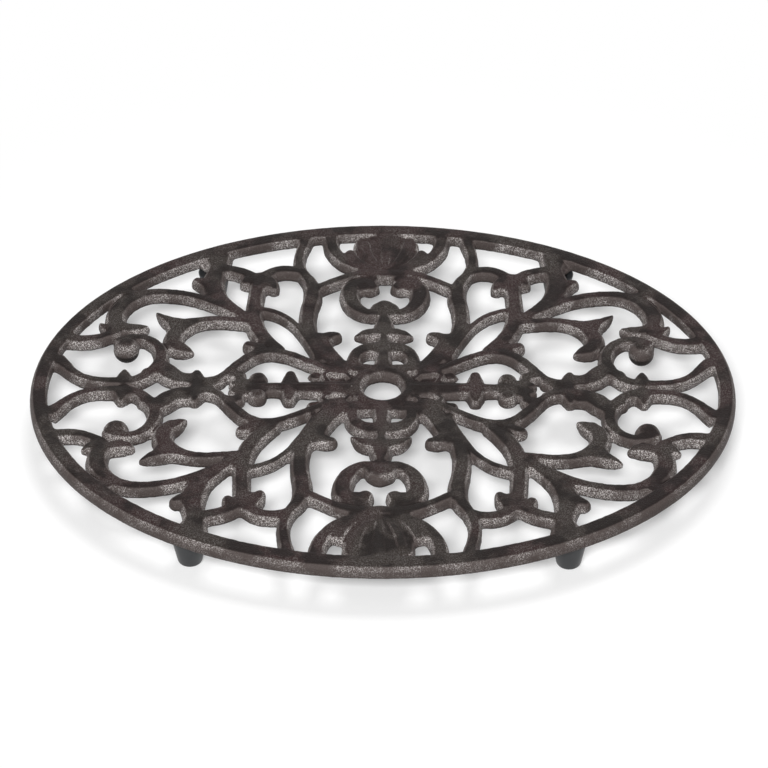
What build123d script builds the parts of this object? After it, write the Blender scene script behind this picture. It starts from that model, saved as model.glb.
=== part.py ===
from build123d import *
import os

# Oval cast-iron trivet on four rubber caps. Millimetres, +X to the right, +Y to the back, +Z up.
# The floor is z = 0 and the centre of the oval is x = y = 0.

# Overall sizes
half_length = 115.0
half_width = 90.8
grille_bottom = 11.0
grille_top = 15.0

# Rim: a plain band, wider at its foot than on top, and a little wider at the front and back than
# at the sides. Its underside rises towards the inner edge.
rim_bottom = 10.9
rim_top = 15.4
rim_side_width = 5.0
rim_front_width = 5.9
rim_outer_lean = 1.3
rim_inner_lean = 0.9
rim_bevel = 0.6
rim_foot_width = 2.6
rim_underside_rise = 1.0

# Centre ring
ring_outer_radius = 10.2
ring_hole_radius = 6.3
ring_hole_flare = 1.2

# The pattern and the feet are placed on an oval of these half sizes and stretched with the real one
drawn_half_length = 115.0
drawn_half_width = 90.8

# Bosses, pegs and rubber caps
foot_x = 59.0 * half_length / drawn_half_length
foot_y = 69.7 * half_width / drawn_half_width
boss_radius = 4.6
peg_radius = 3.2
peg_tip_z = 2.6
cap_top_radius = 5.45
cap_bottom_radius = 3.9
cap_top_z = 9.6
cap_clearance = 0.1

# Openings: a stretch of an outline that bows less than this is left straight
smallest_bow = 0.52

# The openings of one quarter
quarter_openings = {
    "lyre": [
        (16.3, 56.0), (18.6, 53.4), (20.6, 49.5), (22.0, 43.5), (22.3, 36.5), (21.6, 30.4),
        (18.6, 31.0), (16.2, 30.8), (15.6, 28.6), (17.6, 24.5), (17.9, 19.5), (16.2, 14.6),
        (13.7, 12.2), (11.9, 13.8), (10.2, 17.8), (7.0, 22.2), (10.3, 24.2), (10.4, 27.0),
        (7.4, 29.4), (3.8, 30.6), (3.4, 34.0), (4.0, 37.2), (8.5, 38.7), (12.4, 42.8),
        (14.7, 49.0),
    ],
    "centre almond": [
        (2.7, 14.6), (3.7, 17.3), (5.6, 18.0), (7.3, 16.8), (7.5, 13.4), (6.4, 10.5),
        (4.6, 10.5), (3.2, 12.2),
    ],
    "slanted leaf": [
        (22.8, 17.0), (24.0, 21.0), (27.6, 28.8), (32.0, 35.0), (37.0, 38.7), (40.9, 40.0),
        (40.6, 35.4), (38.4, 29.2), (33.2, 22.8), (27.0, 17.9), (23.8, 16.0),
    ],
    "inner hook": [
        (29.4, 39.8), (28.6, 44.5), (27.9, 51.5), (29.0, 58.0), (32.0, 62.0), (36.2, 62.6),
        (37.3, 60.0), (36.2, 57.0), (36.5, 53.4), (38.6, 51.8), (41.1, 51.4), (41.0, 47.0),
        (40.9, 43.2), (35.6, 42.5), (31.6, 40.8),
    ],
    "outer hook": [
        (48.6, 41.8), (47.0, 44.8), (44.9, 49.8), (47.2, 51.2), (47.0, 53.6), (48.7, 57.6),
        (49.8, 61.6), (52.6, 62.4), (55.3, 60.4), (54.9, 55.6), (55.6, 51.4), (54.0, 46.8),
        (50.6, 43.0),
    ],
    "rim between arm and boss": [
        (29.2, 83.0), (38.0, 80.6), (47.0, 77.2), (52.4, 74.6), (52.6, 71.6), (53.8, 68.5),
        (52.0, 66.2), (47.4, 63.7), (43.8, 60.4), (40.2, 63.9), (36.0, 66.9), (32.2, 67.8),
        (31.0, 72.0), (29.8, 78.0),
    ],
    "beside the arm": [
        (19.4, 84.5), (21.8, 82.6), (24.8, 77.8), (27.6, 72.6), (27.3, 67.0), (25.6, 61.8),
        (22.2, 56.6), (18.8, 57.8), (15.0, 60.8), (12.0, 63.8), (11.6, 67.0), (15.2, 71.0),
        (18.0, 75.4), (19.0, 80.0),
    ],
    "beside the shell": [
        (4.0, 79.5), (7.0, 82.0), (10.8, 84.6), (14.9, 84.0), (14.4, 78.8), (13.2, 75.4),
        (11.4, 73.8), (9.4, 75.2), (7.8, 77.6), (5.2, 78.0),
    ],
    "rim above the big scroll": [
        (59.8, 69.4), (66.0, 68.8), (73.0, 64.4), (80.0, 59.6), (83.4, 55.2), (80.6, 53.2),
        (74.6, 53.7), (68.0, 52.7), (63.4, 51.0), (63.6, 54.2), (65.8, 58.3), (62.6, 61.0),
        (62.2, 64.4), (60.2, 66.4),
    ],
    "big scroll": [
        (55.6, 40.4), (61.0, 44.9), (67.0, 47.5), (75.0, 49.0), (82.0, 47.3), (86.2, 43.0),
        (87.3, 37.0), (85.2, 32.2), (80.2, 30.2), (77.5, 27.0), (76.0, 24.6), (73.4, 23.2),
        (72.0, 26.6), (71.6, 30.8), (73.0, 34.2), (75.8, 39.0), (72.0, 38.2), (66.0, 37.5),
        (60.0, 38.2),
    ],
    "side scroll": [
        (45.2, 29.2), (50.0, 32.7), (58.0, 34.2), (64.4, 32.4), (66.6, 27.0), (66.2, 20.4),
        (64.0, 16.9), (67.2, 17.4), (70.9, 15.4), (70.0, 11.6), (69.0, 8.0), (65.8, 7.6),
        (62.2, 10.0), (60.2, 7.8), (58.2, 4.5), (54.4, 6.0), (51.2, 10.6), (46.6, 17.8),
        (47.6, 21.2), (45.0, 24.6),
    ],
    "rim beside the volute": [
        (93.6, 45.4), (97.6, 43.6), (101.2, 37.4), (103.0, 31.0), (102.4, 26.4), (99.4, 25.0),
        (96.6, 27.2), (95.2, 30.2), (92.6, 32.8), (93.2, 38.0),
    ],
    "volute": [
        (90.7, 27.2), (92.6, 24.6), (95.6, 22.3), (100.0, 21.8), (104.3, 22.0), (104.0, 16.6),
        (103.2, 11.4), (100.4, 7.2), (95.6, 4.5), (89.6, 3.6), (87.5, 5.8), (86.2, 9.3),
        (84.4, 6.4), (81.6, 4.0), (77.6, 7.2), (75.8, 11.8), (76.2, 17.0), (77.6, 22.4),
        (80.7, 23.0), (82.3, 20.2), (86.0, 17.4), (89.2, 19.4), (90.2, 23.4),
    ],
    "beads": [
        (23.7, 8.2), (25.6, 11.0), (30.0, 14.7), (36.4, 16.6), (42.5, 14.9), (45.0, 10.6),
        (44.6, 4.6), (43.2, 5.4), (41.0, 7.2), (38.6, 6.0), (37.0, 2.6), (34.0, 2.6),
        (32.9, 5.8), (30.4, 9.1), (28.0, 6.8), (25.4, 3.9), (24.0, 5.2),
    ],
}

# Half outlines of the openings that lie across the front-to-back axis, from its back end round
# to its front end on the right
back_axis_openings = {
    "under the arch": [
        (0.0, 59.6), (1.6, 58.2), (2.1, 54.6), (3.4, 51.4), (5.6, 51.8), (8.1, 52.8),
        (8.6, 48.6), (7.4, 45.5), (4.6, 44.0), (2.6, 45.8), (0.0, 46.3),
    ],
}

# Half outlines of the openings that lie across the left-to-right axis, from the outer end round
# to the inner end at the back
side_axis_openings = {
    "rim triangle": [(110.0, 0.0), (109.6, 6.0), (107.4, 11.6), (103.8, 8.7), (100.8, 4.0), (99.0, 0.0)],
    "pointed lens": [(80.8, 0.0), (78.8, 3.2), (75.0, 5.6), (71.2, 5.6), (69.2, 2.8), (68.6, 0.0)],
    "small eye": [(52.7, 0.0), (52.1, 3.0), (50.8, 4.4), (49.5, 3.0), (49.0, 0.0)],
}


def opening(points):
    """A closed face through the points, straight or one arc from each point to the next."""
    across = half_length / drawn_half_length
    deep = half_width / drawn_half_width
    corners = [Vector(x * across, y * deep, 0) for x, y in points]
    count = len(corners)
    stretches = []
    for i in range(count):
        before, start, end, after = (corners[(i + step) % count] for step in (-1, 0, 1, 2))
        bow = (start + end - before - after) * 0.0625
        middle = (start + end) * 0.5 + bow
        flat = bow.length < smallest_bow
        stretches.append(Line(start, end) if flat else ThreePointArc(start, middle, end))
    return make_face(stretches)


def oval_solid(low_z, low_insets, high_z, high_insets):
    """An oval block between two heights, set in from the full oval by (side, front) insets."""
    ends = []
    for height, (side, front) in ((low_z, low_insets), (high_z, high_insets)):
        ends.append(Pos(0, 0, height) * Ellipse(half_length - side, half_width - front))
    return loft(ends, ruled=True)


def make_rim():
    """The outer band: leaning walls, a bevelled outer top edge and a rising underside."""
    bevel_z = rim_top - rim_bevel
    shoulder = (rim_outer_lean, rim_outer_lean)
    crown = (rim_outer_lean + rim_bevel, rim_outer_lean + rim_bevel)
    inner_top = (rim_side_width, rim_front_width)
    inner_bottom = (rim_side_width + rim_inner_lean, rim_front_width + rim_inner_lean)
    foot = (rim_foot_width, rim_foot_width)
    band = oval_solid(rim_bottom, (0, 0), bevel_z, shoulder) + oval_solid(bevel_z, shoulder, rim_top, crown)
    band -= oval_solid(rim_bottom, inner_bottom, rim_top, inner_top)
    return band - oval_solid(rim_bottom, foot, rim_bottom + rim_underside_rise, inner_bottom)


def make_grille():
    """A flat oval plate inside the rim, pierced by every opening."""
    plate = Ellipse(half_length - rim_foot_width, half_width - rim_foot_width)
    for points in quarter_openings.values():
        right = opening(points)
        left = mirror(right, about=Plane.YZ)
        plate -= [right, left, mirror(right, about=Plane.XZ), mirror(left, about=Plane.XZ)]
    for half in back_axis_openings.values():
        back = opening(half + [(-x, y) for x, y in reversed(half[1:-1])])
        plate -= [back, mirror(back, about=Plane.XZ)]
    for half in side_axis_openings.values():
        right = opening(half + [(x, -y) for x, y in reversed(half[1:-1])])
        plate -= [right, mirror(right, about=Plane.YZ)]
    return Pos(0, 0, grille_bottom) * extrude(plate, grille_top - grille_bottom)


def turned(profile):
    """A solid of revolution about the Z axis from (radius, height) corners."""
    return revolve(make_face(Polyline(*[(r, 0, z) for r, z in profile], close=True)), Axis.Z)


def make_ring_hole():
    straight_top = grille_top - ring_hole_flare
    return turned([
        (0, grille_bottom - 1), (ring_hole_radius, grille_bottom - 1), (ring_hole_radius, straight_top),
        (ring_hole_radius + ring_hole_flare, rim_top), (0, rim_top),
    ])


def make_peg():
    """A boss in the grille with the round peg that carries one rubber cap."""
    return turned([
        (0, peg_tip_z), (peg_radius, peg_tip_z), (peg_radius, rim_bottom),
        (boss_radius, rim_bottom), (boss_radius, rim_top), (0, rim_top),
    ])


def make_cap():
    """A tapered rubber cap that slides over a peg and stops on its end."""
    bore_radius = peg_radius + cap_clearance
    return turned([
        (0, 0), (cap_bottom_radius, 0), (cap_top_radius, cap_top_z),
        (bore_radius, cap_top_z), (bore_radius, peg_tip_z), (0, peg_tip_z),
    ])


feet = {
    "front_left": (-foot_x, -foot_y),
    "front_right": (foot_x, -foot_y),
    "back_left": (-foot_x, foot_y),
    "back_right": (foot_x, foot_y),
}

ring = Pos(0, 0, grille_bottom) * extrude(Circle(ring_outer_radius), rim_top - grille_bottom)
pegs = [Pos(x, y, 0) * make_peg() for x, y in feet.values()]
casting = make_grille() + make_rim() + ring + pegs
casting = casting - make_ring_hole()

os.makedirs("parts", exist_ok=True)
export_step(casting, "parts/cast_iron_grid.step")
cap = make_cap()
for name, (x, y) in feet.items():
    export_step(Pos(x, y, 0) * cap, "parts/rubber_foot_" + name + ".step")
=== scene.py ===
import math
import bmesh
import bpy
import numpy as np
from mathutils import Matrix, Vector, noise


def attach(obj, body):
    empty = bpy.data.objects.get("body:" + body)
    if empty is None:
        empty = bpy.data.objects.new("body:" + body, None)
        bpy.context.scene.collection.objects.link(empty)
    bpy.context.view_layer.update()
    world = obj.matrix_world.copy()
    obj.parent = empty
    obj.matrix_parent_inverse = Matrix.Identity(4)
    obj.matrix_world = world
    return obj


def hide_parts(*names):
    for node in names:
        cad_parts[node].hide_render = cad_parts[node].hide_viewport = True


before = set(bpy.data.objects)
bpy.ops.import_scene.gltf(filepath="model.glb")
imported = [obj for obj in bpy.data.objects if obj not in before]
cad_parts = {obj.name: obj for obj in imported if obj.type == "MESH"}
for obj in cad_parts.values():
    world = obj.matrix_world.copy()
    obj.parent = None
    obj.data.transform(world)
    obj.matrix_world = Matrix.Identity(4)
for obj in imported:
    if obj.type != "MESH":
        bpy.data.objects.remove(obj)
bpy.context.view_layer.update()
mm = 0.001

castSizes = {                 # millimetres
    "halfLength": 115.0,
    "halfWidth": 90.8,
    "foot": 11.0,             # underside of the bars
    "rise": 4.15,             # from the underside to the top of a plain bar
    "strokeGain": 1.07,       # every bar's half width is drawn times this
    "rimHalf": 2.85,          # half width of the rim at its two ends
    "rimSwell": 0.55,         # what it gains towards the front and back
    "rimStand": 0.25,         # how much higher than a plain bar the rim stands
    "footX": 59.0,            # where the four feet stand
    "footY": 69.7,
    "step": 0.35,             # between the sections of a bar
    "voxel": 0.36,
    "smoothing": 16,
    "wave": 0.11,             # unevenness of the cast surface
    "waveRate": 0.55,         # waves a millimetre
    "waveStart": (10.4, 11.2),   # heights between which it comes in: none on the pegs
    "rimCalm": 0.7,           # how much of it the rim loses
    "rimInside": (0.93, 0.96),   # where the rim begins for that, as a share of the oval, squared
    "rimZone": 0.84,          # a bar that ends beyond this share, squared, ends in the rim
    "ringZone": 14.0,         # a bar that ends nearer the middle than this ends in the ring
    "triangles": 190000,
}

# materials

# the iron's colours, with painted light among them: painted side light, painted glints and a painted shade
# line
ironFinish = {
    "topColour": (0.0225, 0.0112, 0.0107, 1),    # brown-black of the flat tops
    "oliveColour": (0.0215, 0.0160, 0.0134, 1),  # where they turn greyer
    "darkColour": (0.0060, 0.0036, 0.0033, 1),   # blacker patches of the tops
    "paintedSideLightColour": (0.074, 0.0582, 0.0542, 1),    # painted light: the sides painted a lighter grey than the tops, standing in for the light they catch
    "paintedGlintColour": (0.76, 0.72, 0.70, 1),        # painted glints: bright specks painted where light would catch on the rough sides
    "paintedShadeColour": (0.005, 0.004, 0.0037, 1),     # painted shade: thin dark line where a side meets the underside
    "roughness": (0.44, 0.6),                    # between the smoothest and the roughest patches
    "specular": 0.1,
    "grainScale": 2000,                          # sand grain, cycles a metre
    "glintScale": 2900,
    "glintRange": (0.44, 0.7),                   # noise between which a painted glint comes in
    "speckShare": (0.1, 0.85),                   # strength of the painted glints on a top and on a side
    "patchScale": 110,                           # patches with more or fewer painted glints
    "patchRange": (0.38, 0.62, 0.08, 1.2),       # their noise, then what they do to the painted glints
    "blackRange": (0.55, 0.4, 0.0, 0.8),         # the same for the blacker patches
    "driftScale": 42,                            # slow change from brown to olive
    "driftRange": (0.4, 0.62),
    "bumpDistance": 0.0003,
    "topFacing": (0.95, 0.66),                   # upward share of the normal on a top and on a side
    "steepFacing": (0.5, 0.3),
    "rimStart": (0.955, 0.985),                  # where the rim begins, as a share of the oval, squared
    "rimPlain": (0.5, 0.7),                      # how much of the painted glints and the painted shade line the rim loses
    "lowEdgeShade": (0.0123, 0.0110, 0.0, 0.85),      # heights of the painted shade line, then its strength there
}

rubberFinish = {
    "colour": (0.029, 0.030, 0.032, 1),
    "roughness": 0.4,
    "specular": 0.45,
    "grainScale": 1500,
    "bumpStrength": 0.15,
    "bumpDistance": 0.0001,
}


def newMaterial(name):
    material = bpy.data.materials.new(name)
    material.use_nodes = True
    nodes = material.node_tree.nodes
    shader = nodes["Principled BSDF"]
    return material, nodes, material.node_tree.links, shader


def addNode(nodes, kind, x, y, **values):
    node = nodes.new(kind)
    node.location = (x, y)
    for key, value in values.items():
        setattr(node, key, value)
    return node


def rangeNode(nodes, links, source, x, y, low, high, toLow=0.0, toHigh=1.0):
    node = addNode(nodes, "ShaderNodeMapRange", x, y, interpolation_type="SMOOTHSTEP")
    node.inputs["From Min"].default_value = low
    node.inputs["From Max"].default_value = high
    node.inputs["To Min"].default_value = toLow
    node.inputs["To Max"].default_value = toHigh
    links.new(source, node.inputs["Value"])
    return node.outputs["Result"]


def mathNode(nodes, links, operation, x, y, first, second):
    node = addNode(nodes, "ShaderNodeMath", x, y, operation=operation)
    for socket, value in zip(node.inputs, (first, second)):
        if isinstance(value, (int, float)):
            socket.default_value = value
        else:
            links.new(value, socket)
    return node.outputs[0]


def mixColour(nodes, links, x, y, factor, first, second):
    node = addNode(nodes, "ShaderNodeMix", x, y, data_type="RGBA")
    links.new(factor, node.inputs[0])
    for socket, value in ((node.inputs[6], first), (node.inputs[7], second)):
        if isinstance(value, tuple):
            socket.default_value = value
        else:
            links.new(value, socket)
    return node.outputs[2]


def noiseNode(nodes, links, place, x, y, scale, detail=2.0, rough=0.5):
    node = addNode(nodes, "ShaderNodeTexNoise", x, y)
    node.inputs["Scale"].default_value = scale
    node.inputs["Detail"].default_value = detail
    node.inputs["Roughness"].default_value = rough
    links.new(place, node.inputs["Vector"])
    return node.outputs["Fac"]


def castIron(finish):
    material, nodes, links, shader = newMaterial("cast_iron")
    place = addNode(nodes, "ShaderNodeTexCoord", -1700, 0).outputs["Object"]
    spot = addNode(nodes, "ShaderNodeSeparateXYZ", -1500, -500)
    links.new(place, spot.inputs[0])
    normal = addNode(nodes, "ShaderNodeNewGeometry", -1700, -300).outputs["Normal"]
    split = addNode(nodes, "ShaderNodeSeparateXYZ", -1500, -300)
    links.new(normal, split.inputs[0])
    upward = split.outputs["Z"]
    wall = rangeNode(nodes, links, upward, -1300, -300, *finish["topFacing"])   # 0 on tops, 1 on sides
    steep = rangeNode(nodes, links, upward, -1300, -450, *finish["steepFacing"])
    along = mathNode(nodes, links, "DIVIDE", -1300, -600, spot.outputs["X"], castSizes["halfLength"] * mm)
    across = mathNode(nodes, links, "DIVIDE", -1300, -750, spot.outputs["Y"], castSizes["halfWidth"] * mm)
    along = mathNode(nodes, links, "POWER", -1150, -600, along, 2)
    across = mathNode(nodes, links, "POWER", -1150, -750, across, 2)
    outward = mathNode(nodes, links, "ADD", -1000, -650, along, across)
    onRim = rangeNode(nodes, links, outward, -850, -650, *finish["rimStart"])
    steep = rangeNode(nodes, links, steep, -1150, -450, 0.0, 1.0, *finish["rimPlain"])
    plain = mathNode(nodes, links, "MULTIPLY", -700, -500, onRim, steep)   # smoother face of the rim, which gets fewer painted glints and less painted shade line
    # share of the painted glints and the painted shade line: all of them off the rim face
    glintAndShadeShare = mathNode(nodes, links, "SUBTRACT", -550, -500, 1.0, plain)
    grain = noiseNode(nodes, links, place, -1300, 300, finish["grainScale"], 3.0, 0.6)
    # painted glints: noise for the bright specks painted onto the sides
    speck = noiseNode(nodes, links, place, -1300, 100, finish["glintScale"], 2.0, 0.7)
    patch = noiseNode(nodes, links, place, -1300, -100, finish["patchScale"], 3.0, 0.55)
    glintMask = rangeNode(nodes, links, speck, -1100, 100, *finish["glintRange"])
    glintOnSides = rangeNode(nodes, links, wall, -900, -300, 0.0, 1.0, *finish["speckShare"])
    glintPatches = rangeNode(nodes, links, patch, -1100, -100, *finish["patchRange"])
    glintAmount = mathNode(nodes, links, "MULTIPLY", -700, 0, glintMask, glintOnSides)
    glintAmount = mathNode(nodes, links, "MULTIPLY", -550, 0, glintAmount, glintPatches)
    glintAmount = mathNode(nodes, links, "MULTIPLY", -400, 0, glintAmount, glintAndShadeShare)
    blacker = rangeNode(nodes, links, patch, -900, 450, *finish["blackRange"])
    drift = noiseNode(nodes, links, place, -1300, 600, finish["driftScale"], 1.0, 0.5)
    drift = rangeNode(nodes, links, drift, -1100, 600, *finish["driftRange"])
    top = mixColour(nodes, links, -900, 600, drift, finish["topColour"], finish["oliveColour"])
    top = mixColour(nodes, links, -700, 450, blacker, top, finish["darkColour"])
    # painted light: the sides take the lighter painted side colour, the tops keep their own
    base = mixColour(nodes, links, -500, 300, wall, top, finish["paintedSideLightColour"])
    # painted glints mixed into the colour
    colour = mixColour(nodes, links, -250, 200, glintAmount, base, finish["paintedGlintColour"])
    # painted shade: a dark line painted along the foot of each side, where shade falls
    lowEdgeShade = rangeNode(nodes, links, spot.outputs["Z"], -850, -850, *finish["lowEdgeShade"])
    lowEdgeShade = mathNode(nodes, links, "MULTIPLY", -550, -850, lowEdgeShade, glintAndShadeShare)
    colour = mixColour(nodes, links, -100, 200, lowEdgeShade, colour, finish["paintedShadeColour"])
    links.new(colour, shader.inputs["Base Color"])
    rough = rangeNode(nodes, links, patch, -500, -200, 0.3, 0.7, *finish["roughness"])
    links.new(rough, shader.inputs["Roughness"])
    shader.inputs["Specular IOR Level"].default_value = finish["specular"]
    bump = addNode(nodes, "ShaderNodeBump", -300, -300)
    bump.inputs["Strength"].default_value = 1.0
    bump.inputs["Distance"].default_value = finish["bumpDistance"]
    links.new(grain, bump.inputs["Height"])
    links.new(bump.outputs["Normal"], shader.inputs["Normal"])
    return material


def rubber(finish):
    material, nodes, links, shader = newMaterial("rubber")
    place = addNode(nodes, "ShaderNodeTexCoord", -900, 0).outputs["Object"]
    grain = noiseNode(nodes, links, place, -700, 0, finish["grainScale"], 2.0, 0.5)
    shader.inputs["Base Color"].default_value = finish["colour"]
    shader.inputs["Roughness"].default_value = finish["roughness"]
    shader.inputs["Specular IOR Level"].default_value = finish["specular"]
    bump = addNode(nodes, "ShaderNodeBump", -300, -300)
    bump.inputs["Strength"].default_value = finish["bumpStrength"]
    bump.inputs["Distance"].default_value = finish["bumpDistance"]
    links.new(grain, bump.inputs["Height"])
    links.new(bump.outputs["Normal"], shader.inputs["Normal"])
    return material


ironMaterial = castIron(ironFinish)
rubberMaterial = rubber(rubberFinish)
print("materials made")


# mesh helpers

def addObject(name, mesh):
    piece = bpy.data.objects.new(name, mesh)
    bpy.context.scene.collection.objects.link(piece)
    return piece


def bakeModifiers(piece):
    bpy.context.view_layer.update()
    seen = piece.evaluated_get(bpy.context.evaluated_depsgraph_get())
    mesh = bpy.data.meshes.new_from_object(seen)
    piece.modifiers.clear()
    piece.data = mesh
    return mesh


def closeMesh(mesh):
    work = bmesh.new()
    work.from_mesh(mesh)
    bmesh.ops.remove_doubles(work, verts=work.verts, dist=1e-6)
    bmesh.ops.recalc_face_normals(work, faces=work.faces)
    work.to_mesh(mesh)
    work.free()


def vertexArray(mesh):
    spots = np.zeros(len(mesh.vertices) * 3, np.float64)
    mesh.vertices.foreach_get("co", spots)
    return spots.reshape(-1, 3)


def smoothStep(values, low, high):
    share = np.clip((values - low) / (high - low), 0, 1)
    return share * share * (3 - 2 * share)


# the casting: bars swept along drawn lines, one quarter mirrored to four, then fused into one skin

barProfile = [                # (share of the half width, share of the rise)
    (1.0, 0.0), (1.02, 0.16), (0.93, 0.54), (0.8, 0.76), (0.6, 0.91), (0.32, 0.985),
    (-0.32, 0.985), (-0.6, 0.91), (-0.8, 0.76), (-0.93, 0.54), (-1.02, 0.16), (-1.0, 0.0),
]

rimBand = [                   # the same for the band round the edge, outer side first
    (0.98, 0.0), (1.0, 0.14), (0.985, 0.46), (0.94, 0.62), (0.6, 0.965), (0.38, 1.0),
    (-0.5, 1.0), (-0.76, 0.98), (-0.92, 0.9), (-0.98, 0.66), (-1.0, 0.25), (-0.9, 0.05),
    (-0.3, -0.03), (0.5, -0.05),
]

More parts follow.
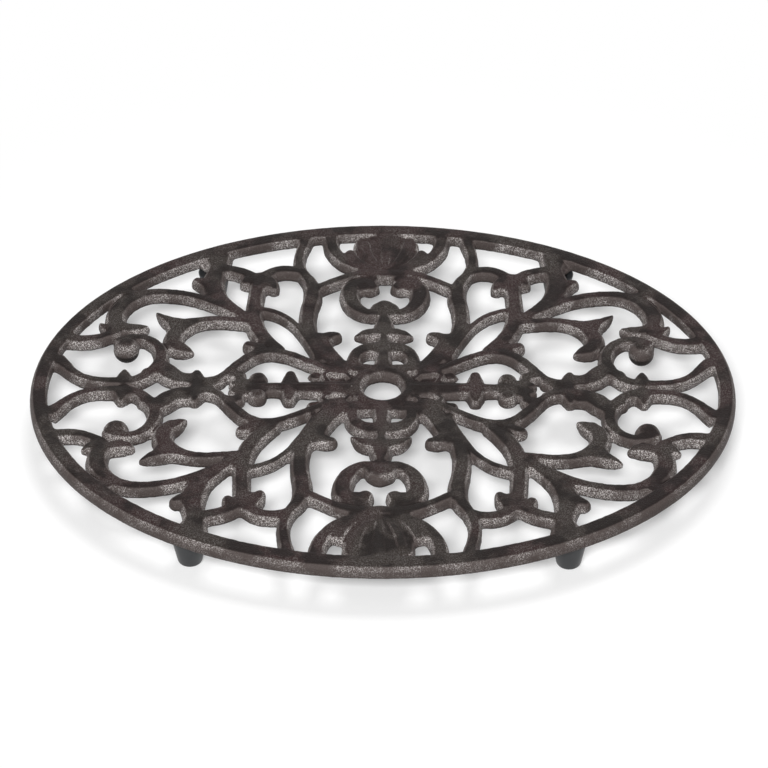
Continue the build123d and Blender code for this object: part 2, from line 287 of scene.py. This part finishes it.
# each bar of one quarter: points (x, y, half width), then how much higher than a plain bar it stands
quarterBars = {
    "big_scroll": ([(45.5, 36.2, 2.2), (50, 40.2, 2.2), (55, 43.7, 2.2), (61, 47.2, 2.2), (67, 49.6, 2.3),
                    (75, 50.9, 2.4), (81.5, 49.9, 2.7), (86.8, 46.0, 3.1), (89.8, 40.5, 3.4),
                    (90.1, 35.6, 3.4), (88.8, 32.2, 2.9)], 0.0),
    "big_scroll_leaf": ([(89.6, 34.0, 2.4), (87.4, 31.8, 2.6), (84.4, 30.8, 2.8), (81.4, 30.9, 2.3),
                         (79.6, 31.5, 1.3)], 0.1),
    "rim_link": ([(84, 49.8, 2.0), (88, 50.6, 2.4), (93.5, 49.0, 2.4)], -0.1),
    "volute": ([(108, 14.6, 3.2), (105, 11.2, 2.6), (102, 7.4, 2.1), (98, 4.2, 2.0), (93, 2.6, 2.1),
                (87, 2.35, 2.3), (81.5, 2.8, 2.5), (77.1, 6.2, 2.6), (73.9, 11.8, 2.6), (73.5, 17, 2.5),
                (75.5, 22.2, 2.3), (79.5, 25.4, 2.1), (84.5, 25.6, 2.0), (88, 24.0, 1.9)], 0.0),
    "volute_thorn": ([(84.6, 3.0, 3.2), (84.8, 5.8, 2.4), (84.9, 8.0, 1.2)], 0.0),
    "outer_thorn": ([(90.4, 30.0, 2.6), (92.8, 31.2, 2.2), (94.8, 33.0, 0.9)], 0.0),
    "rim_stem": ([(89.2, 28.6, 2.0), (92.4, 26.9, 2.1), (95.8, 25.4, 2.4), (100, 24.7, 2.6),
                  (105, 25.4, 2.8), (109, 26.4, 2.8)], -0.1),
    "side_scroll": ([(43.5, 34.6, 2.0), (50, 35.4, 2.0), (56, 36.0, 2.1), (62, 35.0, 2.3), (66.8, 32.0, 2.9),
                     (69.8, 27.6, 3.4), (69.6, 23.0, 3.3), (67.8, 20.2, 2.8)], 0.0),
    "side_bud": ([(69.4, 22.6, 2.8), (67.0, 20.4, 2.8), (64.8, 18.8, 2.0), (63.4, 18.0, 0.9)], 0.05),
    "horn_leaf": ([(63.5, 34.8, 2.2), (67.0, 34.0, 2.5), (70.2, 34.6, 2.7), (72.8, 35.9, 2.1),
                   (75.0, 37.6, 1.2), (76.4, 38.9, 0.45)], 0.1),
    "horn_root": ([(69.0, 30.0, 2.6), (70.8, 33.0, 2.2)], -0.1),
    "bead_arch": ([(14, 7.4, 1.6), (18, 9.0, 1.8), (22.5, 11.8, 2.0), (27.5, 15.0, 2.1), (33, 17.8, 2.1),
                   (38.5, 18.5, 2.2), (43.2, 16.6, 2.4), (47.4, 12.0, 2.4), (50.4, 8, 2.1), (53.6, 4.4, 1.9),
                   (58, 2.6, 2.1), (64, 2.5, 2.1), (68.5, 3.9, 2.3), (71.7, 6.8, 2.5), (73.2, 12, 2.2)], 0.0),
    "arch_bump": ([(40.5, 20.5, 2.0), (43.4, 21.8, 2.3), (44.9, 22.3, 2.0)], 0.05),
    "stem": ([(34.6, 20.2, 2.2), (39.0, 24.8, 3.1), (41.9, 30, 3.2), (43.5, 36, 3.1), (43.8, 42, 2.9),
              (43.7, 48, 2.8), (43.3, 54, 2.8), (43.4, 59.4, 2.4)], 0.0),
    "stem_left_arm": ([(43.0, 57.8, 2.6), (40.4, 61.4, 2.7), (36.8, 64.0, 2.6), (32.6, 64.4, 2.5),
                       (28.6, 63.2, 2.4)], 0.0),
    "stem_right_arm": ([(43.6, 57.8, 2.6), (46.4, 61.2, 2.7), (50, 63.4, 2.6), (54, 64.6, 2.6),
                        (57.5, 66.0, 2.6)], 0.0),
    "left_hook": ([(42.4, 60.2, 2.6), (39.9, 58.0, 3.0), (38.3, 55.4, 2.6), (37.4, 53.6, 1.6)], 0.05),
    "right_hook": ([(44.0, 60.0, 2.6), (46.4, 58.8, 2.6), (47.6, 56.8, 1.9)], 0.05),
    "hook_fill": ([(41.8, 58.0, 2.6), (40.4, 55.2, 2.2)], -0.1),
    "boss_arm": ([(47.5, 38.8, 2.2), (52.0, 43.4, 2.6), (56.0, 48.3, 3.4), (58.3, 53.4, 4.1), (58.5, 59, 3.8),
                  (57.6, 64.6, 3.4), (57.5, 70, 4.3), (57.3, 75.5, 4.5)], 0.0),
    "boss_thorn": ([(59.4, 55.2, 3.0), (62.0, 56.8, 2.7), (64.0, 57.8, 1.9)], 0.05),
    "lyre": ([(11, 8.2, 1.8), (16.8, 12.4, 2.2), (20.2, 17.5, 2.3), (22.0, 23, 2.5), (24.5, 29, 2.7),
              (25.7, 36, 2.9), (25.4, 43, 3.0), (24.4, 50, 3.1), (25.3, 57, 2.7), (28.0, 62.5, 2.2),
              (29.6, 68, 2.1), (29.4, 74, 2.1), (28.2, 80, 2.3), (27, 86, 2.6)], 0.0),
    "lyre_inner": ([(11.5, 10.4, 1.6), (15.2, 15.2, 2.0), (17.7, 19.6, 2.0), (19.4, 24.0, 2.0),
                    (20.6, 27.5, 1.8)], -0.15),
    "lyre_side": ([(21.5, 14.5, 1.4), (23.4, 20, 1.4), (26.4, 27, 1.5), (29.8, 33.5, 1.6), (34.5, 38.6, 1.7),
                   (40, 41.4, 1.8), (43.4, 41.6, 1.6)], -0.15),
    "lyre_thorn": ([(21.8, 24.2, 2.7), (19.6, 26.3, 2.8), (17.4, 27.5, 2.4), (15.7, 27.8, 1.8)], 0.05),
    "thorn_fill": ([(22.2, 27.2, 2.4), (21.0, 28.4, 1.4)], -0.3),
    "arch": ([(-0.5, 61.9, 2.5), (6, 62.3, 2.4), (11, 61.2, 2.3), (16.5, 58.3, 2.1), (22, 54.6, 2.1)], 0.1),
    "pair_scroll": ([(1.5, 39.8, 2.2), (6.2, 40.4, 2.5), (9.9, 43.8, 3.0), (11.7, 49, 3.3), (11.4, 54, 3.4),
                     (8.8, 57.0, 2.9), (5.9, 56.8, 2.8), (4.7, 54.9, 2.8)], 0.0),
    "scroll_fill": ([(5.0, 59.0, 2.7), (7.6, 56.6, 2.9), (7.3, 54.4, 2.2)], -0.45),
    "collar_leaf": ([(0.5, 29.0, 1.8), (3.6, 29.2, 2.6), (6.4, 28.4, 2.2), (8.4, 27.2, 1.2),
                     (9.6, 26.3, 0.5)], 0.1),
    "ring_volute": ([(8.4, 7.8, 2.0), (9.6, 12.5, 2.4), (9.2, 16.9, 2.6), (7.2, 19.7, 3.0), (4.4, 21.0, 3.3),
                     (1.5, 21.2, 3.3)], 0.0),
    "ring_shoulder": ([(2.5, 10.5, 2.0), (6.5, 10.6, 2.4), (9.5, 10.0, 2.4)], -0.5),
    "ring_web": ([(8.5, 4.5, 2.6), (14, 6.6, 2.6), (19, 7.4, 2.4), (23, 7.6, 1.8)], -2.0),
    "knot": ([(44.8, 2.0, 2.0), (47.6, 2.0, 1.9), (48.8, 1.7, 1.7)], -0.5),
    "knot_top": ([(46.6, 6.4, 2.0), (50.6, 6.4, 2.0)], -0.4),
    "outer_knot": ([(52.8, 3.4, 1.6), (55.8, 1.8, 2.0), (58, 1.2, 2.0)], -0.6),
    "shell_base": ([(2.4, 66.2, 2.4), (5.2, 70.5, 3.6), (7.0, 75.5, 3.8), (7.6, 80.0, 3.6)], -0.6),
    "shell_rib": ([(2.2, 65.4, 1.1), (4.3, 69.5, 1.5), (6.2, 74.0, 1.9), (7.2, 79.0, 2.0)], 0.15),
    "shell_second": ([(4.4, 64.9, 1.2), (8.4, 67.8, 1.7), (11.2, 71.4, 2.1), (12.2, 74.4, 2.0)], 0.0),
    "shell_outer": ([(6.0, 64.4, 1.9), (12.8, 68.4, 2.5), (16.9, 73.8, 2.7), (18.8, 79, 2.7),
                     (19.2, 86, 2.8)], 0.0),
    "axis_stem": ([(38, 1.4, 1.6), (41, 1.6, 1.6), (45.8, 3.4, 1.8), (48.4, 7.4, 1.9)], -0.6),
    "axis_ridge": ([(9.5, 0, 4.2), (18, 0, 3.9), (26, 0, 3.3), (36, 0, 2.7), (45.4, 0, 2.5)], -0.4),
    "axis_crest": ([(9.5, 0, 0.9), (26, 0, 0.9), (36, 0, 0.9), (45, 0, 0.9)], 0.25),
    "pointed_bead": ([(30.3, 0, 3.1), (30.3, 4.2, 2.8), (30.3, 6.6, 1.9)], 0.05),
    "whorl": ([(10.5, 4.4, 1.0), (12.8, 7.4, 1.1), (16.6, 8.0, 1.1), (19.4, 6.2, 1.1),
               (18.2, 4.2, 1.0)], -0.2),
    "collar_bud": ([(60.6, 1.0, 2.6), (60.8, 5.0, 2.5), (61.1, 7.5, 1.5)], 0.1),
    "outer_bud": ([(66.0, 2.8, 2.2), (67.6, 6.0, 2.5), (69.6, 8.8, 2.3), (71.6, 11.0, 2.0)], -0.1),
    "lens_top": ([(71.5, 7.6, 2.2), (74.6, 8.4, 2.4), (77.6, 7.4, 2.2)], -0.15),
    "bud_saddle": ([(60.5, 5.6, 1.9), (64, 5.7, 1.9), (67.5, 6.4, 1.9)], -0.6),
}

axisBars = {                  # bars that lie on the front-to-back axis, mirrored once
    "axis_neck": ([(0, 8.0, 3.2), (0, 13, 2.9), (0, 18, 2.6), (0, 22, 2.5), (0, 25.5, 2.1)], 0.1),
    "axis_bud": ([(0, 27.2, 2.0), (0, 30.0, 3.0), (0, 33.0, 3.5), (0, 36.0, 2.7), (0, 38.8, 1.6),
                  (0, 41.0, 0.7)], 0.5),
    "bud_neck": ([(0, 35.0, 2.2), (0, 40.0, 2.4)], -0.4),
    "bud_head": ([(-1.6, 42.7, 3.4), (0, 43.0, 3.7), (1.6, 42.7, 3.4)], 0.1),
    "shell_centre": ([(0, 65.4, 1.3), (0, 69, 1.7), (0, 74, 2.3), (0, 79, 2.8), (0, 86, 3.4)], 0.25),
    "shell_floor": ([(0, 65.6, 2.2), (0, 69, 3.6), (0, 74, 5.2), (0, 79, 6.6), (0, 86, 7.6)], -0.55),
}

balls = [                     # (x, y, radius, height of the centre, height of the lowest point)
    (85.4, 21.9, 4.3, 11.8, 7.5), (40.8, 4.4, 3.3, 12.4, 11.0), (0, 33.2, 3.7, 12.1, 11.0),
    (0, 43.3, 4.3, 11.8, 11.0),
]

ringProfile = [               # the ring in the middle: (radius, height)
    (5.9, 11.0), (11.2, 11.0), (11.2, 13.75), (10.4, 14.75), (9.2, 15.25), (8.2, 15.2),
    (7.2, 14.65), (6.5, 13.55), (6.1, 12.55), (5.9, 11.0),
]

pegProfile = [                # the peg under each boss that the cap is pushed on: (radius, height)
    (0, 2.7), (2.7, 2.7), (3.1, 3.2), (3.1, 10.6), (4.3, 11.0), (4.5, 11.6), (4.5, 12.2), (3.6, 13.2),
    (0, 13.2),
]


def barTree():
    tree = bpy.data.node_groups.new("bars_along_lines", "GeometryNodeTree")
    for name, kind in (("Geometry", "NodeSocketGeometry"), ("Profile", "NodeSocketObject"),
                       ("Step", "NodeSocketFloat"), ("Foot", "NodeSocketFloat"),
                       ("Rise", "NodeSocketFloat"), ("Finish", "NodeSocketMaterial")):
        tree.interface.new_socket(name, in_out="INPUT", socket_type=kind)
    tree.interface.new_socket("Geometry", in_out="OUTPUT", socket_type="NodeSocketGeometry")
    nodes, links = tree.nodes, tree.links
    given = addNode(nodes, "NodeGroupInput", -1400, 0)
    line = addNode(nodes, "GeometryNodeMeshToCurve", -1200, 200)
    soft = addNode(nodes, "GeometryNodeCurveSplineType", -1000, 200, spline_type="CATMULL_ROM")
    even = addNode(nodes, "GeometryNodeResampleCurve", -800, 200, mode="LENGTH")
    upright = addNode(nodes, "GeometryNodeSetCurveNormal", -600, 200, mode="Z_UP")
    place = addNode(nodes, "GeometryNodeInputPosition", -800, -100)
    keep = addNode(nodes, "GeometryNodeStoreNamedAttribute", -400, 200, data_type="FLOAT_VECTOR",
                   domain="POINT")
    keep.inputs["Name"].default_value = "line_spot"
    shape = addNode(nodes, "GeometryNodeObjectInfo", -800, -300)
    shapeLine = addNode(nodes, "GeometryNodeMeshToCurve", -600, -300)
    sweep = addNode(nodes, "GeometryNodeCurveToMesh", -200, 200)
    sweep.inputs["Fill Caps"].default_value = True
    spot = addNode(nodes, "GeometryNodeInputNamedAttribute", -400, -100, data_type="FLOAT_VECTOR")
    spot.inputs["Name"].default_value = "line_spot"
    half = addNode(nodes, "GeometryNodeInputNamedAttribute", -400, -300, data_type="FLOAT")
    half.inputs["Name"].default_value = "half_width"
    stand = addNode(nodes, "GeometryNodeInputNamedAttribute", -400, -500, data_type="FLOAT")
    stand.inputs["Name"].default_value = "stand"
    under = addNode(nodes, "GeometryNodeInputNamedAttribute", -400, -700, data_type="FLOAT")
    under.inputs["Name"].default_value = "under"
    tall = mathNode(nodes, links, "ADD", -200, -500, given.outputs["Rise"], stand.outputs["Attribute"])
    tall = mathNode(nodes, links, "SUBTRACT", -200, -600, tall, under.outputs["Attribute"])
    floor = mathNode(nodes, links, "ADD", -200, -700, given.outputs["Foot"], under.outputs["Attribute"])
    scale = addNode(nodes, "ShaderNodeCombineXYZ", 0, -300)
    lift = addNode(nodes, "ShaderNodeCombineXYZ", 0, -500)
    away = addNode(nodes, "ShaderNodeVectorMath", 0, -100, operation="SUBTRACT")
    sized = addNode(nodes, "ShaderNodeVectorMath", 200, -100, operation="MULTIPLY")
    back = addNode(nodes, "ShaderNodeVectorMath", 400, -100, operation="ADD")
    raised = addNode(nodes, "ShaderNodeVectorMath", 600, -100, operation="ADD")
    move = addNode(nodes, "GeometryNodeSetPosition", 800, 200)
    real = addNode(nodes, "GeometryNodeRealizeInstances", 1000, 200)
    dress = addNode(nodes, "GeometryNodeSetMaterial", 1200, 200)
    done = addNode(nodes, "NodeGroupOutput", 1400, 200)
    for first, second in (
            (given.outputs["Geometry"], line.inputs["Mesh"]), (line.outputs[0], soft.inputs["Curve"]),
            (soft.outputs[0], even.inputs["Curve"]), (given.outputs["Step"], even.inputs["Length"]),
            (even.outputs[0], upright.inputs["Curve"]), (upright.outputs[0], keep.inputs["Geometry"]),
            (place.outputs[0], keep.inputs["Value"]), (keep.outputs[0], sweep.inputs["Curve"]),
            (given.outputs["Profile"], shape.inputs["Object"]),
            (shape.outputs["Geometry"], shapeLine.inputs["Mesh"]),
            (shapeLine.outputs[0], sweep.inputs["Profile Curve"]),
            (half.outputs["Attribute"], scale.inputs[0]),
            (half.outputs["Attribute"], scale.inputs[1]), (tall, scale.inputs[2]),
            (floor, lift.inputs[2]), (place.outputs[0], away.inputs[0]),
            (spot.outputs["Attribute"], away.inputs[1]), (away.outputs[0], sized.inputs[0]),
            (scale.outputs[0], sized.inputs[1]), (sized.outputs[0], back.inputs[0]),
            (spot.outputs["Attribute"], back.inputs[1]), (back.outputs[0], raised.inputs[0]),
            (lift.outputs[0], raised.inputs[1]), (sweep.outputs[0], move.inputs["Geometry"]),
            (raised.outputs[0], move.inputs["Position"]), (move.outputs[0], real.inputs[0]),
            (real.outputs[0], dress.inputs["Geometry"]), (given.outputs["Finish"], dress.inputs["Material"]),
            (dress.outputs[0], done.inputs[0])):
        links.new(first, second)
    return tree


def outlineObject(name, points):
    mesh = bpy.data.meshes.new(name)
    count = len(points)
    edges = [(i, (i + 1) % count) for i in range(count)]
    mesh.from_pydata([(u, -v, 0) for u, v in points], edges, [])   # the sweep hangs y down
    return addObject(name, mesh)


def buried(x, y):
    # whether a bar's end lies in the rim or the ring
    outward = (x / castSizes["halfLength"]) ** 2 + (y / castSizes["halfWidth"]) ** 2
    return outward > castSizes["rimZone"] or math.hypot(x, y) < castSizes["ringZone"]


tipSizes = {                  # how the free ends of the bars thin out; pointed tips stay up, round ends sink
    "reach": 2.2,             # length of the taper on a round end
    "slimHalf": 1.9,          # an end with less half width than this tapers over a longer way
    "slimReach": 2.6,         # by this much for each millimetre
    "pointHalf": 0.4,         # half width of a pointed tip
    "roundGain": 1.2,         # what a round end has more
    "leastRound": 0.15,
    "sink": 0.62,             # how far the top of a round end sinks, as a share of the rise
    "lift": 0.7,              # how far the underside of a pointed tip comes up
    "roundLoss": 0.45,        # how much less that is on a round end
}


def endTaper(away, half, rise, tip=tipSizes):
    # how far the top of a free end sinks and its underside comes up, most at the very tip
    reach = tip["reach"] + tip["slimReach"] * max(0.0, tip["slimHalf"] - half)
    share = min(1.0, max(0.0, away / reach))
    curve = rise * (1 - math.sqrt(1 - (1 - share) ** 2))
    blunt = min(1.0, max(tip["leastRound"], (half - tip["pointHalf"]) / tip["roundGain"]))
    return -tip["sink"] * blunt * curve, (tip["lift"] - tip["roundLoss"] * blunt) * curve


def barLine(points, stand, rise):
    # a free end runs on by its half width, closes in a half circle and thins towards the tip
    line = [[x, y, half, stand, 0.0] for x, y, half in points]
    for end, inner in ((0, 1), (-1, -2)):
        x, y, half = points[end]
        if buried(x, y):
            continue
        inX, inY = points[inner][:2]
        length = math.hypot(x - inX, y - inY)
        for spot in line:
            fall, lift = endTaper(math.hypot(spot[0] - x, spot[1] - y) + half, half, rise)
            spot[3] += fall
            spot[4] += lift
        cap = []
        for t in (0.3, 0.6, 0.9, 1.15, 1.35, 1.5):
            far = half * math.sin(t)
            fall, lift = endTaper(half - far, half, rise)
            cap.append([x + (x - inX) / length * far, y + (y - inY) / length * far, half * math.cos(t),
                        stand + fall, lift])
        line = cap[::-1] + line if end == 0 else line + cap
    return line


def lineObject(name, bars, sizes, closed=False):
    spots, edges, values = [], [], []
    for points, stand in bars:
        line = [(x, y, half, stand, 0.0) for x, y, half in points]
        if not closed:
            points = [(x, y, half * sizes["strokeGain"]) for x, y, half in points]
            line = barLine(points, stand, sizes["rise"])
        start = len(spots)
        spots += [(x * mm, y * mm, 0) for x, y, *rest in line]
        values += [[value * mm for value in rest] for x, y, *rest in line]
        edges += [(start + i, start + i + 1) for i in range(len(line) - 1)]
        if closed:
            edges.append((len(spots) - 1, start))
    mesh = bpy.data.meshes.new(name)
    mesh.from_pydata(spots, edges, [])
    for key, column in zip(("half_width", "stand", "under"), zip(*values)):
        mesh.attributes.new(key, "FLOAT", "POINT").data.foreach_set("value", column)
    return addObject(name, mesh)


def sweepBars(name, bars, profile, tree, sizes, closed=False):
    shape = outlineObject(name + "_profile", profile)
    piece = lineObject(name, bars, sizes, closed)
    modifier = piece.modifiers.new("bars", "NODES")
    modifier.node_group = tree
    values = {"Profile": shape, "Step": sizes["step"] * mm, "Foot": sizes["foot"] * mm,
              "Rise": sizes["rise"] * mm, "Finish": ironMaterial}
    for item in tree.interface.items_tree:
        if item.in_out == "INPUT" and item.name in values:
            modifier[item.identifier] = values[item.name]
    mesh = bakeModifiers(piece)
    bpy.data.objects.remove(piece)
    bpy.data.objects.remove(shape)
    closeMesh(mesh)
    return mesh


def fourQuarters(bars):
    whole = []
    for points, stand in bars.values():
        for sx in (-1, 1):
            for sy in (-1, 1):
                whole.append(([(sx * x, sy * y, half) for x, y, half in points], stand))
    return whole


def twoEnds(bars):
    whole = []
    for points, stand in bars.values():
        for sy in (-1, 1):
            whole.append(([(x, sy * y, half) for x, y, half in points], stand))
    return whole


def rimLine(sizes, count=240):
    points = []
    for i in range(count):
        turn = 2 * math.pi * i / count
        half = sizes["rimHalf"] + sizes["rimSwell"] * abs(math.sin(turn))
        x = (sizes["halfLength"] - half) * math.cos(turn)
        y = (sizes["halfWidth"] - half) * math.sin(turn)
        points.append((x, y, half))
    return points


def lathe(profile, centre, count=64):
    work = bmesh.new()
    rings = []
    for i, (radius, z) in enumerate(profile):
        if i and (radius, z) == profile[0]:
            rings.append(rings[0])   # a closed ring
        elif radius == 0:
            rings.append([work.verts.new((centre[0] * mm, centre[1] * mm, z * mm))] * count)
        else:
            ring = []
            for k in range(count):
                turn = 2 * math.pi * k / count
                x = centre[0] + radius * math.cos(turn)
                y = centre[1] + radius * math.sin(turn)
                ring.append(work.verts.new((x * mm, y * mm, z * mm)))
            rings.append(ring)
    for low, high in zip(rings, rings[1:]):
        for i in range(count):
            k = (i + 1) % count
            corners = []
            for vert in (low[i], low[k], high[k], high[i]):
                if vert not in corners:
                    corners.append(vert)
            if len(corners) > 2:
                work.faces.new(corners)
    bmesh.ops.recalc_face_normals(work, faces=work.faces)
    mesh = bpy.data.meshes.new("lathe")
    work.to_mesh(mesh)
    work.free()
    return mesh


def joinMeshes(name, meshes):
    work = bmesh.new()
    for mesh in meshes:
        work.from_mesh(mesh)
    joined = bpy.data.meshes.new(name)
    work.to_mesh(joined)
    work.free()
    return joined


def castingSkin(sizes):
    tree = barTree()
    meshes = [
        sweepBars("bars", fourQuarters(quarterBars) + twoEnds(axisBars), barProfile, tree, sizes),
        sweepBars("rim", [(rimLine(sizes), sizes["rimStand"])], rimBand, tree, sizes, closed=True),
        lathe(ringProfile, (0, 0)),
    ]
    for sx in (-1, 1):
        for sy in (-1, 1):
            for x, y, radius, centre, bottom in balls:
                low = max(-1.45, math.asin(max(-1.0, (bottom - centre) / radius)))
                turns = np.linspace(low, 1.45, 18)
                shell = [(radius * math.cos(t), centre + radius * math.sin(t)) for t in turns]
                meshes.append(lathe([(0, bottom)] + shell + [(0, centre + radius)], (sx * x, sy * y), 48))
            meshes.append(lathe(pegProfile, (sx * sizes["footX"], sy * sizes["footY"])))
    skin = addObject("cast_iron_skin", joinMeshes("cast_iron_skin", meshes))
    remesh = skin.modifiers.new("voxels", "REMESH")
    remesh.mode = "VOXEL"
    remesh.voxel_size = sizes["voxel"] * mm
    remesh.adaptivity = 0.0
    mesh = bakeModifiers(skin)
    print("casting fused,", len(mesh.polygons), "faces")
    smooth = skin.modifiers.new("smooth", "SMOOTH")
    smooth.factor = 0.5
    smooth.iterations = sizes["smoothing"]
    mesh = bakeModifiers(skin)
    noise.seed_set(7)         # the same waves on every run
    spots = vertexArray(mesh) / mm
    rate = sizes["waveRate"]
    rough = np.array([noise.noise_vector((px * rate, py * rate, pz * rate)) for px, py, pz in spots])
    outward = (spots[:, 0] / sizes["halfLength"]) ** 2 + (spots[:, 1] / sizes["halfWidth"]) ** 2
    amount = sizes["wave"] * smoothStep(spots[:, 2], *sizes["waveStart"])
    amount = amount * (1 - sizes["rimCalm"] * smoothStep(outward, *sizes["rimInside"]))
    spots += rough * amount[:, None]
    mesh.vertices.foreach_set("co", (spots * mm).ravel())
    mesh.update()
    thin = skin.modifiers.new("thin", "DECIMATE")
    thin.ratio = min(1.0, sizes["triangles"] / (2.0 * len(mesh.polygons)))
    mesh = bakeModifiers(skin)
    mesh.polygons.foreach_set("use_smooth", np.ones(len(mesh.polygons), bool))
    mesh.materials.clear()
    mesh.materials.append(ironMaterial)
    print("casting finished,", len(mesh.polygons), "triangles")
    return skin


casting = castingSkin(castSizes)
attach(casting, "root")
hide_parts("cast_iron_grid")


# rubber caps

capSizes = {
    "topRadius": 5.45,
    "bottomRadius": 3.95,
    "topHeight": 9.6,
    "boreRadius": 3.25,
    "boreFloor": 2.6,
    "cornerRadius": 1.1,      # round the underside
    "lipRadius": 0.45,        # round the top edge
}


def capProfile(sizes):
    top, foot = sizes["topRadius"], sizes["bottomRadius"]
    high, bore, floor = sizes["topHeight"], sizes["boreRadius"], sizes["boreFloor"]
    bend, edge = sizes["cornerRadius"], sizes["lipRadius"]
    turns = np.linspace(0, 1.4, 8)
    corner = [(foot - bend + bend * math.sin(t), bend - bend * math.cos(t)) for t in turns]
    turns = np.linspace(0, 1.5708, 6)
    lip = [(top - edge + edge * math.cos(t), high - edge + edge * math.sin(t)) for t in turns]
    return [(0, 0)] + corner + lip + [(bore + 0.3, high), (bore, high - 0.3), (bore, floor), (0, floor)]


def rubberCap(name, sizes, x, y):
    piece = addObject(name + "_cap", lathe(capProfile(sizes), (x, y), 96))
    mesh = piece.data
    mesh.polygons.foreach_set("use_smooth", np.ones(len(mesh.polygons), bool))
    mesh.materials.append(rubberMaterial)
    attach(piece, "root")
    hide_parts(name)


for side, sx in (("left", -1), ("right", 1)):
    for end, sy in (("front", -1), ("back", 1)):
        x, y = sx * castSizes["footX"], sy * castSizes["footY"]
        rubberCap("rubber_foot_" + end + "_" + side, capSizes, x, y)
print("caps made")


# floor, light and camera

stageSizes = {
    "floorHalf": 3.0,
    "floorColour": (0.96, 0.96, 0.96, 1),
    "bounceColour": (0.3, 0.3, 0.3, 1),   # what the floor sends back onto the object
    "shadowLift": 0.28,       # how much of the white shows through the shadow, more further out
    "liftReach": (0.1, 0.22), # metres from the middle, between which it rises to all of it
    "roomLight": 0.19,        # what the world sends onto the object
}


def seenRays(nodes, links):
    # 1 for the rays that show the background, 0 for those that light the object
    path = addNode(nodes, "ShaderNodeLightPath", -700, 300)
    camera, glossy = path.outputs["Is Camera Ray"], path.outputs["Is Glossy Ray"]
    seen = mathNode(nodes, links, "MAXIMUM", -500, 300, camera, glossy)
    return mathNode(nodes, links, "MAXIMUM", -350, 300, seen, path.outputs["Is Transmission Ray"])


def floorMaterial(sizes):
    material, nodes, links, shader = newMaterial("floor")
    shader.inputs["Roughness"].default_value = 0.9
    shader.inputs["Specular IOR Level"].default_value = 0.0
    seen = seenRays(nodes, links)
    colour = mixColour(nodes, links, -200, 500, seen, sizes["bounceColour"], sizes["floorColour"])
    links.new(colour, shader.inputs["Base Color"])
    place = addNode(nodes, "ShaderNodeTexCoord", -900, 0).outputs["Object"]
    away = addNode(nodes, "ShaderNodeVectorMath", -700, 0, operation="LENGTH")
    links.new(place, away.inputs[0])
    near, far = sizes["liftReach"]
    fade = rangeNode(nodes, links, away.outputs["Value"], -500, 0, near, far, sizes["shadowLift"], 1.0)
    lift = mathNode(nodes, links, "MULTIPLY", -200, 300, seen, fade)
    white = addNode(nodes, "ShaderNodeEmission", -200, 100)
    white.inputs["Strength"].default_value = 1.0
    mix = addNode(nodes, "ShaderNodeMixShader", 300, 200)
    links.new(lift, mix.inputs[0])
    links.new(shader.outputs[0], mix.inputs[1])
    links.new(white.outputs[0], mix.inputs[2])
    links.new(mix.outputs[0], nodes["Material Output"].inputs["Surface"])
    return material


def buildStage(sizes):
    half = sizes["floorHalf"]
    mesh = bpy.data.meshes.new("floor")
    corners = [(-half, -half, 0), (half, -half, 0), (half, half, 0), (-half, half, 0)]
    mesh.from_pydata(corners, [], [(0, 1, 2, 3)])
    mesh.materials.append(floorMaterial(sizes))
    floor = addObject("floor", mesh)
    world = bpy.data.worlds.new("studio")
    bpy.context.scene.world = world
    world.use_nodes = True
    nodes, links = world.node_tree.nodes, world.node_tree.links
    back = nodes["Background"]
    seen = seenRays(nodes, links)
    strength = mathNode(nodes, links, "MULTIPLY_ADD", -200, 300, seen, 1 - sizes["roomLight"])
    strength.node.inputs[2].default_value = sizes["roomLight"]
    back.inputs["Color"].default_value = (1, 1, 1, 1)
    links.new(strength, back.inputs["Strength"])


lightSizes = {                # metres and watts, both pointing at the middle
    "key_light": {"place": (-0.12, -1.05, 0.98), "width": 0.45, "height": 0.35, "power": 19.0},
    "top_light": {"place": (0.1, 0.5, 1.15), "width": 0.6, "height": 0.6, "power": 7.0},
}


def areaLight(name, sizes):
    data = bpy.data.lights.new(name, "AREA")
    data.shape = "RECTANGLE"
    data.size = sizes["width"]
    data.size_y = sizes["height"]
    data.energy = sizes["power"]
    lamp = bpy.data.objects.new(name, data)
    bpy.context.scene.collection.objects.link(lamp)
    lamp.location = sizes["place"]
    lamp.rotation_euler = (-Vector(sizes["place"])).to_track_quat("-Z", "Y").to_euler()


photoView = {                 # millimetres and degrees
    "elevation": 38.229,
    "yaw": -1.064,
    "roll": -0.302,
    "target": (0.42, 3.14, 13.0),
    "distance": 1057.6,
    "lens": 151.56,
}


def photoCamera(view):
    data = bpy.data.cameras.new("camera")
    data.sensor_width = 36.0
    data.lens = view["lens"]
    data.clip_start = 0.01
    camera = bpy.data.objects.new("camera", data)
    bpy.context.scene.collection.objects.link(camera)
    up, turn, roll = (math.radians(view[key]) for key in ("elevation", "yaw", "roll"))
    ahead = Vector((math.sin(turn) * math.cos(up), math.cos(turn) * math.cos(up), -math.sin(up)))
    level = Vector((math.cos(turn), -math.sin(turn), 0))
    upright = level.cross(ahead)
    right = level * math.cos(roll) + upright * math.sin(roll)
    above = upright * math.cos(roll) - level * math.sin(roll)
    place = (Vector(view["target"]) - ahead * view["distance"]) * mm
    camera.matrix_world = Matrix((
        (right.x, above.x, -ahead.x, place.x),
        (right.y, above.y, -ahead.y, place.y),
        (right.z, above.z, -ahead.z, place.z),
        (0, 0, 0, 1)))
    bpy.context.scene.camera = camera


buildStage(stageSizes)
for lightName, light in lightSizes.items():
    areaLight(lightName, light)
photoCamera(photoView)
bpy.context.scene.view_settings.view_transform = "Standard"
print("stage made")
